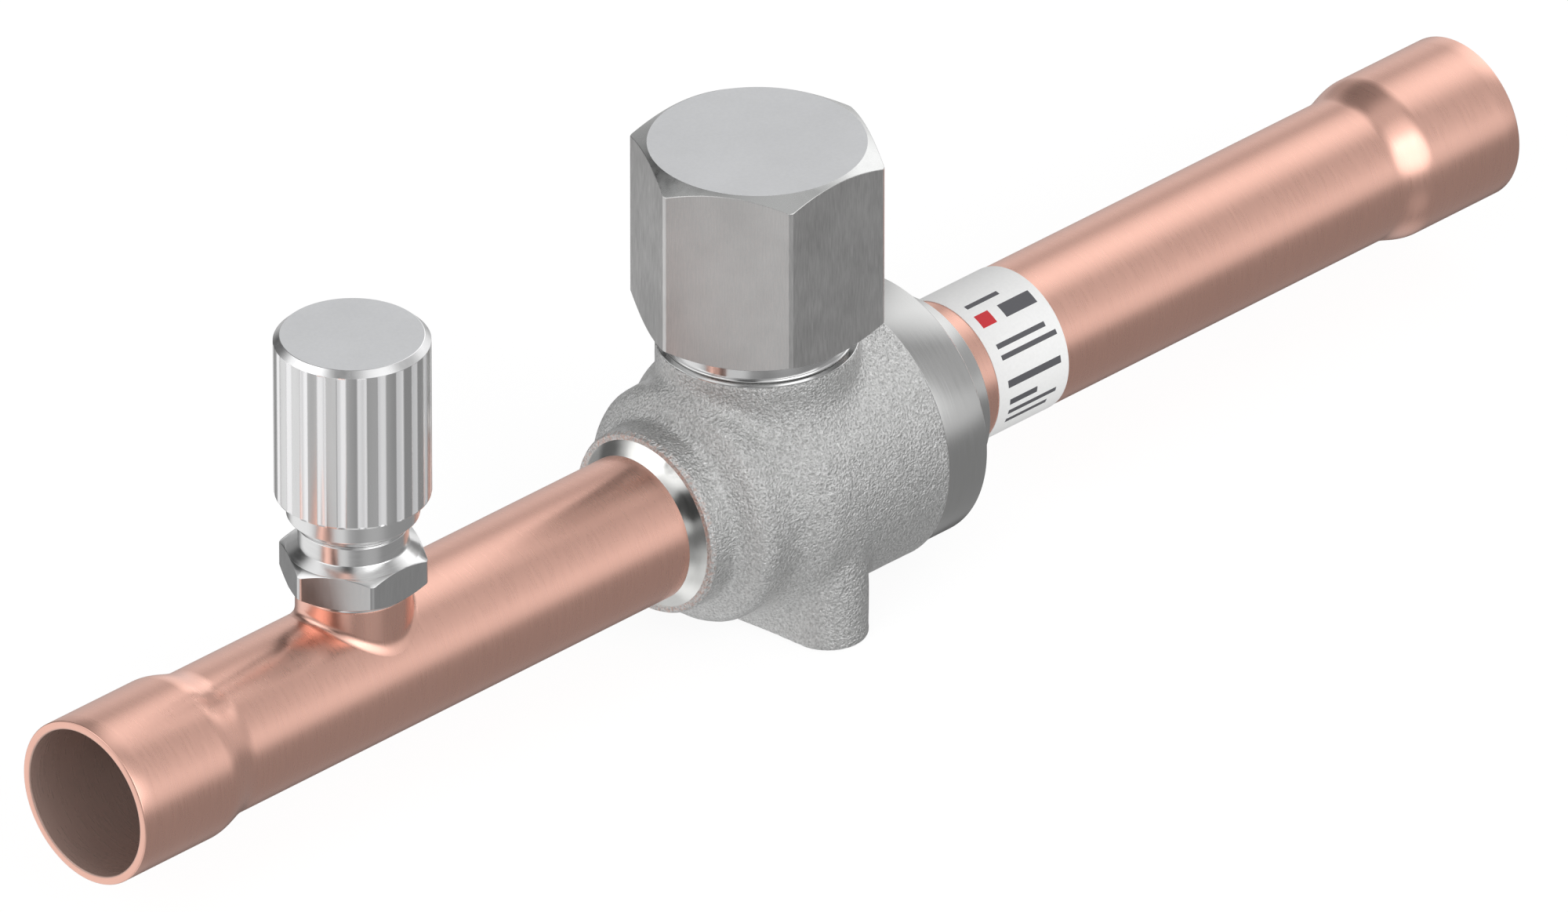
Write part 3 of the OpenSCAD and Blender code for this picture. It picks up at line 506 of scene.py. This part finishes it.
def copper_finish():
    """Copper brushed round the tube: noise that is very fine along the tube and long round it gives
    the lines, a slow noise the faint clouds. Within the bore's radius, which steps up at each
    socket, the metal is dark with oxide."""
    material, nodes, place = new_material("brushed_copper")
    lines = nodes.noise(place, (4200, 300, 300), 3.0)
    scratch = nodes.noise(place, (2600, 420, 420), 2.0)
    clouds = nodes.noise(place, 90.0, 2.0)
    share = nodes.ramp(nodes.maths("ADD", lines, clouds), 0.7, 1.3)
    bright = nodes.blend(share, (0.925, 0.545, 0.445, 1), (0.96, 0.57, 0.465, 1))
    oxide = nodes.blend(share, (0.43, 0.305, 0.265, 1), (0.47, 0.335, 0.29, 1))
    from_ball = nodes.vector("SUBTRACT", place, tuple(ball_centre))
    parts = nodes.make("SeparateXYZ", i0=from_ball).outputs
    across = nodes.make("CombineXYZ", i1=parts[1], i2=parts[2]).outputs[0]
    out = nodes.vector("LENGTH", across, result="Value")
    bores = []
    for side, mouth in ((-1, port_mouth), (1, plain_mouth)):
        step_start = side * (mouth - socket_depth - swage_length) * 0.001
        step_end = side * (mouth - socket_depth) * 0.001
        bores.append(nodes.ramp(parts[0], step_start, step_end, 0.0069, 0.00803))
    depth = nodes.maths("SUBTRACT", nodes.maths("MAXIMUM", *bores), out)
    inside = nodes.ramp(depth, -0.0002, 0.0)
    both = nodes.maths("ADD", lines, scratch)
    nodes.finish(nodes.blend(inside, bright, oxide), nodes.ramp(inside, 0.0, 1.0, 1.0, 0.45),
                 nodes.ramp(both, 0.7, 1.3, 0.26, 0.31), nodes.tilt(both, 0.02))
    return material


copper = copper_finish()
plain_grid = around("x", tube_outline(16.05, plain_mouth), tube_columns)
plain_tube = piece("plain_tube_copper", [(plain_grid, True, 0)], [copper])
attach(plain_tube, "valve")
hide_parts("plain_tube")

port_x = -58.23
collar_r, collar_bore, collar_top = 6.01, 5.02, 9.9975


def saddle(columns=160, fillet=0.85, spread=0.9):
    """Drawn collar as a closed ring. Round the port's axis the tube's crown falls away as a circle,
    and in each upright slice a curve of second order leads from the tube's surface up into the
    collar's wall."""
    turn = np.linspace(0, 2 * np.pi, columns, endpoint=False)[None, :]
    side = np.abs(np.sin(turn))

    def crown(r):
        """Height of the tube's skin at a distance from the port's axis."""
        return np.sqrt(np.maximum(tube_r ** 2 - (r * side) ** 2, 0.04))

    foot_r = collar_r + spread * (1 - 0.25 * side)
    foot_z = crown(foot_r) - 0.01
    slope = -foot_r * side ** 2 / crown(foot_r)
    corner_z = foot_z + slope * (collar_r - foot_r)
    wall_z = corner_z + fillet
    t = np.linspace(0, 1, 12)[:, None]
    r = (1 - t) ** 2 * foot_r + 2 * t * (1 - t) * collar_r + t ** 2 * collar_r
    z = (1 - t) ** 2 * foot_z + 2 * t * (1 - t) * corner_z + t ** 2 * wall_z
    outline = [
        (r, z), (collar_r, collar_top - 0.12), (collar_r - 0.12, collar_top),
        (collar_bore, collar_top), (collar_bore, crown(collar_bore) - 0.6), (foot_r, foot_z - 0.3)]
    return around("z", outline, columns, (port_x, 0))


port_grid = around("x", tube_outline(11.37, port_mouth) * (1, -1), tube_columns)
port_tube = piece("port_tube_copper", [(port_grid, True, 0), (saddle(), True, 0)], [copper])
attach(port_tube, "valve")
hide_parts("port_tube")

# ---------------------------------------------------------------- brazed joints
# Bright silver braze: a hollow cone of it where the port's tube enters the body, a thin ring of it
# in the mouth of the end piece, and another where the service port sits in its collar.
bright_braze = finish_of("silver_braze", (0.86, 0.86, 0.84), 0.15, (2500, 500, 500), 0.02,
                         spread=0.02)
cone_size, cone_dip = 1.27, 0.03
share = np.linspace(0, 1, 9)
dip = cone_dip * np.sin(np.pi * share)
cone_outline = [(7.92, body_left + 0.05)]
cone_outline += zip(7.94 + cone_size * (1 - share) - dip, body_left - cone_size * share + dip)
cone = around("x", cone_outline, 144)
port_tube_braze = piece("port_tube_braze_bead", [(cone, True, 0)], [bright_braze])
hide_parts("port_tube_braze")
ring = around("x", [(7.93, 23.36), (8.0, 23.36), (8.6, 23.95), (8.3, 24.02), (7.93, 24.14)], 144)
plain_tube_braze = piece("plain_tube_braze_bead", [(ring, True, 0)], [bright_braze])
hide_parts("plain_tube_braze")
ring = around("z", [(4.97, 9.6), (5.02, 9.6), (5.42, 9.995), (4.97, 9.995)], 96, (port_x, 0))
port_fitting_braze = piece("port_fitting_braze_bead", [(ring, True, 0)], [bright_braze])
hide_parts("port_fitting_braze")
for bead in (port_tube_braze, plain_tube_braze, port_fitting_braze):
    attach(bead, "valve")

# ---------------------------------------------------------------- service port
# The service port is turned from hexagon bar and plated: a round shoulder, a low hexagon with both
# ends chamfered, a cone up to a plain land and the thread for its cap, with a 45 degree nose.
fitting_columns = 360


def hexagon_outline(across_flats, face_r, low, high, columns, corner_cut=0.12, soft=0.05):
    """Outside of a bar with six flats, its corners on X and its ends chamfered at 30 degrees: in
    each direction the chamfer starts lower the farther out the flat lies there. Edges are a little
    soft. The rows go from the top face down to the bottom one."""
    turn = np.linspace(0, 2 * np.pi, columns, endpoint=False)
    flat_r = across_flats / 2 / np.cos((turn % (np.pi / 3)) - np.pi / 6)
    flat_r = np.minimum(flat_r, across_flats / 2 / math.cos(math.pi / 6) - corner_cut)
    drop = (flat_r - face_r) * math.tan(math.pi / 6)
    return [
        (face_r - soft, high), (face_r + 0.01, high - 0.03), (flat_r - soft, high - drop + 0.01),
        (flat_r, high - drop - soft), (flat_r, low + drop + soft),
        (flat_r - soft, low + drop - 0.01), (face_r + 0.01, low + 0.03), (face_r - soft, low)]


hex_low, hex_high, land_top, thread_top, tip = 10.7375, 14.4675, 17.2975, 27.2975, 29.254
hex_bore, land_r, port_thread_r = 4.0, 5.706, 5.556
port_pitch, port_thread_depth, port_thread_start, port_thread_end = 1.27, 0.62, 17.6, 26.9
hexagon = [(hex_bore, hex_high)]
hexagon += hexagon_outline(13.77, 6.885, hex_low, hex_high, fitting_columns)
hexagon += [(hex_bore, hex_low)]
hexagon = around("z", hexagon, fitting_columns, (port_x, 0))
thread_place = np.arange(port_thread_start, port_thread_end + 0.05, 0.075)[:, None]
thread_r = thread_radius(thread_place, port_thread_r, port_pitch, port_thread_depth,
                         port_thread_start, port_thread_end, fitting_columns)
stalk_outline = [
    (4.97, 7.44), (4.97, 9.9975), (6.02, 9.9975), (6.08, 10.06), (6.08, hex_low + 0.5),
    (5.0, hex_low + 0.5), (5.0, hex_high - 0.3), (6.875, hex_high - 0.3),
    (6.875, hex_high + 0.005), (land_r + 0.06, hex_high + 0.74), (land_r, hex_high + 0.84),
    (land_r, land_top - 0.04), (land_r - 0.04, land_top), (port_thread_r, land_top + 0.01),
    (thread_r, thread_place), (5.156, thread_top), (3.25, tip - 0.05), (3.15, tip), (2.65, tip),
    (2.65, 23.954), (2.1, 23.954), (2.1, 8.0), (4.97, 7.44)]
stalk = around("z", stalk_outline, fitting_columns, (port_x, 0))
plated = finish_of("plated_fitting", (0.80, 0.80, 0.80), 0.18, (300, 300, 4500), 0.04,
                   spread=0.03)
milled = finish_of("milled_flats", (0.65, 0.65, 0.65), 0.2, (3000, 3000, 500), 0.05, patch=0.05,
                   spread=0.03)
ends = np.concatenate([hexagon[5:], hexagon[:5]])
port_fitting = piece("port_fitting_plated", [
    (stalk, True, 0), (hexagon[4:6], False, 1), (ends, False, 0)], [plated, milled], sharp=24)
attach(port_fitting, "valve")
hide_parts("port_fitting")

# ---------------------------------------------------------------- port cap
# Screwed on the service port: a plated cap with 24 shallow flutes round its grip, a 45 degree
# bevel round its matt top and a narrower plain skirt with a bevelled mouth.
cap_r, cap_top, cap_bottom, cap_roof, bevel = 8.08, 39.354, 17.5575, 31.354, 0.63
grip_foot, skirt_r, cap_bore = 20.95, 6.85, 5.631
flutes, flute_depth, flute_share = 24, 0.1, 0.5
cap_columns = flutes * 16
turn = np.linspace(0, 2 * np.pi, cap_columns, endpoint=False)
spacing = 2 * np.pi / flutes
off_middle = np.abs((turn % spacing) - spacing / 2) / (flute_share * spacing / 2)
grip_r = np.where(off_middle < 1, cap_r - flute_depth * (1 - off_middle ** 2), cap_r)
cap_outline = [
    (0, cap_top), (cap_r - bevel - 0.06, cap_top), (cap_r - bevel, cap_top - 0.02),
    (cap_r - 0.04, cap_top - bevel + 0.04), (cap_r, cap_top - bevel),
    (grip_r, cap_top - bevel - 0.16), (grip_r, grip_foot + 0.25), (cap_r - 0.05, grip_foot + 0.1),
    (cap_r - 0.15, grip_foot), (skirt_r, grip_foot), (skirt_r, 18.68), (skirt_r - 0.03, 18.62),
    (5.78, 17.57), (5.72, cap_bottom), (cap_bore, cap_bottom), (cap_bore, cap_roof), (0, cap_roof)]
grid = around("z", cap_outline, cap_columns, (port_x, 0))


def fluted_plating():
    """Nickel plating. The angle round the cap times the number of flutes, less its whole part,
    tells the flutes from the lands between them: the flutes are cut bright, and their near-white,
    partly matt colour is a painted highlight for the light strips they show, the lands satin. The
    skirt is lighter and smoother than the grip's lands, and the bevel lighter still."""
    material, nodes, place = new_material("grip_plating_painted_highlight")
    lines = nodes.noise(place, (1400, 1400, 110), 3.0)
    from_port = nodes.vector("SUBTRACT", place, (port_x * 0.001, 0, 0))
    parts = nodes.make("SeparateXYZ", i0=from_port).outputs
    angle = nodes.maths("ARCTAN2", parts[1], parts[0])
    share = nodes.maths("FRACT", nodes.maths("MULTIPLY", angle, flutes / (2 * math.pi)))
    off = nodes.maths("ABSOLUTE", nodes.maths("SUBTRACT", share, 0.5))
    grip = nodes.ramp(parts[2], 0.03650, 0.03656)
    below_bevel = nodes.ramp(parts[2], 0.05410, 0.05406)
    flute = nodes.ramp(off, flute_share / 2 + 0.01, flute_share / 2 - 0.07)
    flute = nodes.maths("MULTIPLY", nodes.maths("MULTIPLY", flute, grip), below_bevel)
    grey = nodes.ramp(grip, 0.0, 1.0, 0.84, 0.76)
    grey = nodes.make("CombineColor", i0=grey, i1=grey, i2=grey).outputs[0]
    satin = nodes.blend(below_bevel, (0.86, 0.86, 0.865, 1), grey)
    smooth = nodes.ramp(flute, 0.0, 1.0, nodes.ramp(grip, 0.0, 1.0, 0.2, 0.24), 0.2)
    rough = nodes.maths("ADD", nodes.ramp(lines, 0.3, 0.7, -0.04, 0.04), smooth)
    # Painted highlight: the flutes' near-white colour and lower metalness stand in for the bright
    # strips of light they show
    nodes.finish(nodes.blend(flute, satin, (0.93, 0.93, 0.94, 1)),
                 nodes.ramp(flute, 0.0, 1.0, 1.0, 0.6), rough, nodes.tilt(lines, 0.04))
    return material


grip_plating_painted_highlight = fluted_plating()
matt_top = finish_of("matt_crown", (0.695, 0.702, 0.715), 0.5, (2600, 2600, 2600), 0.15,
                     metallic=0.35)
port_cap = piece("port_cap_fluted", [(grid[:2], False, 1), (grid[1:], False, 0)],
                 [grip_plating_painted_highlight, matt_top], sharp=6)
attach(port_cap, "port_cap")
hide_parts("port_cap")

# ---------------------------------------------------------------- seal cap
# Screwed over the stem: milled from 24 mm hexagon bar, its flats brushed upright, both ends
# chamfered, the top faced matt. It has a bore for the neck and a gasket seat inside.
seal_low, seal_high, seal_columns = 17.9, 38.55, 360
seal_outline = [(0, seal_high)]
seal_outline += hexagon_outline(23.55, 11.4, seal_low, seal_high, seal_columns)
seal_outline += [(10.3, seal_low), (9.6, 18.6), (9.6, 25.6), (6.825, 25.6), (6.825, 33.2),
                 (5.825, 34.2), (0, 34.2)]
grid = around("z", seal_outline, seal_columns)
brushed_flats = finish_of("brushed_flats", (0.64, 0.635, 0.63), 0.34, (5200, 5200, 560), 0.12,
                          patch=0.13, spread=0.06)
turned_chamfer = finish_of("turned_chamfer", (0.66, 0.665, 0.66), 0.28, (900, 900, 900), 0.01,
                           depth=0.000005, patch=0.02)
seal_cap = piece("seal_cap_hexagon", [
    (grid[:2], False, 1), (grid[1:4], False, 2), (grid[3:6], False, 0), (grid[5:], False, 2)],
    [brushed_flats, matt_top, turned_chamfer], sharp=12)
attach(seal_cap, "seal_cap")
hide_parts("seal_cap")

# ---------------------------------------------------------------- label
# A band of white paper stuck round the plain tube near the end piece. It is printed with plain
# grey and red bars, which lie along the tube in rows.
label_low, label_high, label_columns = 27.4, 37.6, 144
label_under, label_over = tube_r + 0.005, tube_r + 0.078
band = around("x", [(label_under, label_low), (label_over, label_low), (label_over, label_high),
                    (label_under, label_high)], label_columns)


def printed_paper():
    """White paper. Ink shows where the angle round the tube is within a row's and the place along
    the tube is within its bar's length. A row is two angles in degrees, two places and the ink."""
    material, nodes, place = new_material("label_paper")
    fibre = nodes.noise(place, 3000.0, 2.0)
    tint = nodes.blend(fibre, (0.88, 0.88, 0.875, 1), (0.96, 0.96, 0.955, 1))
    from_ball = nodes.vector("SUBTRACT", place, tuple(ball_centre))
    parts = nodes.make("SeparateXYZ", i0=from_ball).outputs
    angle = nodes.maths("ARCTAN2", parts[2], parts[1])

    def within(value, low, high):
        """One where a value lies between low and high, and nothing elsewhere."""
        return nodes.maths("MULTIPLY", nodes.maths("GREATER_THAN", value, low),
                           nodes.maths("LESS_THAN", value, high))

    grey, red = (0.10, 0.10, 0.11, 1), (0.62, 0.03, 0.04, 1)
    for low_deg, high_deg, low_x, high_x, ink in [
            (-176, -171, 29.0, 33.0, grey), (-166, -162, 29.0, 36.0, grey),
            (-157, -153, 29.0, 35.0, grey), (168, 174, 28.8, 36.5, grey),
            (148, 152, 28.8, 36.8, grey), (139, 143, 28.8, 35.8, grey),
            (112, 124, 32.0, 36.5, grey), (100, 104, 28.8, 33.5, grey),
            (112, 124, 28.6, 30.6, red)]:
        row = within(angle, math.radians(low_deg), math.radians(high_deg))
        bar = within(parts[0], low_x * 0.001, high_x * 0.001)
        tint = nodes.blend(nodes.maths("MULTIPLY", row, bar), tint, ink)
    nodes.finish(tint, 0.0, 0.55, nodes.tilt(fibre, 0.05))
    return material


label = piece("label_band", [(band, True, 0)], [printed_paper()])
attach(label, "valve")
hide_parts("label")

# ---------------------------------------------------------------- inside
# These pieces keep their solids: the ball between its two seats, the stem with its washer, rings
# and stop pin, the gaskets and the valve core, each in the finish of what it is made of. Only the
# core's spring is drawn anew, in the next section.
ball_steel = finish_of("polished_ball", (0.82, 0.82, 0.82), 0.08, (1500, 1500, 1500), 0.02,
                       spread=0.02)
stem_steel = finish_of("turned_stem", (0.62, 0.62, 0.61), 0.22, (300, 300, 4000), 0.08)
core_brass = finish_of("core_brass", (0.80, 0.62, 0.30), 0.25, (400, 400, 4000), 0.08)
seat_plastic = finish_of("white_seat_plastic", (0.88, 0.88, 0.85), 0.4, (800, 800, 800), 0.05,
                         metallic=0.0)
rubber = finish_of("black_rubber", (0.03, 0.03, 0.032), 0.6, (2500, 2500, 2500), 0.15, patch=0.2,
                   metallic=0.0)
for names, material in [
        (["ball"], ball_steel), (["stem", "stop_pin"], stem_steel),
        (["core_body", "core_pin"], core_brass),
        (["port_side_seat", "plain_side_seat", "thrust_washer", "core_gasket",
          "seal_cap_gasket"], seat_plastic),
        (["body_o_ring", "port_side_o_ring", "plain_side_o_ring", "lower_stem_o_ring",
          "upper_stem_o_ring", "core_seal", "port_cap_seal"], rubber)]:
    for name in names:
        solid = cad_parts[name]
        if not solid.material_slots:
            solid.data.materials.append(material)
        for filled in solid.material_slots:
            filled.material = material

# ---------------------------------------------------------------- spring of the valve core
# A steel wire wound round the core's pin. It stands on a step in the core. On the real core it
# gets shorter as the pin's collar is pushed down on it; here it is drawn at one length.
spring_foot, spring_top, pin_travel = 19.354, 24.154, 1.2
coil_r, wire_r = 0.82, 0.11


def wound_wire(turns=6, steps=24, sides=10):
    """Skin of a round wire that climbs a cylinder. The end turns lie close, as on a spring that is
    cut to stand flat, and the first and last rows are drawn to a point to close the wire's ends."""
    turn = np.linspace(0, turns, turns * steps + 1)
    low, high = spring_foot + wire_r + 0.02, spring_top - wire_r - 0.02
    climb = np.interp(turn, [0, 0.8, turns - 0.8, turns], [low, low + 0.25, high - 0.25, high])
    turn, climb = (np.concatenate([a[:1], a, a[-1:]])[:, None] for a in (turn, climb))
    thick = np.full_like(turn, wire_r)
    thick[[0, -1]] = 0
    side = np.linspace(0, 2 * np.pi, sides, endpoint=False)[None, :]
    out = coil_r + thick * np.cos(side)
    return np.stack([port_x + out * np.cos(2 * np.pi * turn), out * np.sin(2 * np.pi * turn),
                     climb + thick * np.sin(side) + AXIS_HEIGHT], -1)


core_spring = piece("core_spring_wire", [(wound_wire(), False, 0)], [stem_steel], sharp=60)
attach(core_spring, "valve")
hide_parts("core_spring")
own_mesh(core_spring)
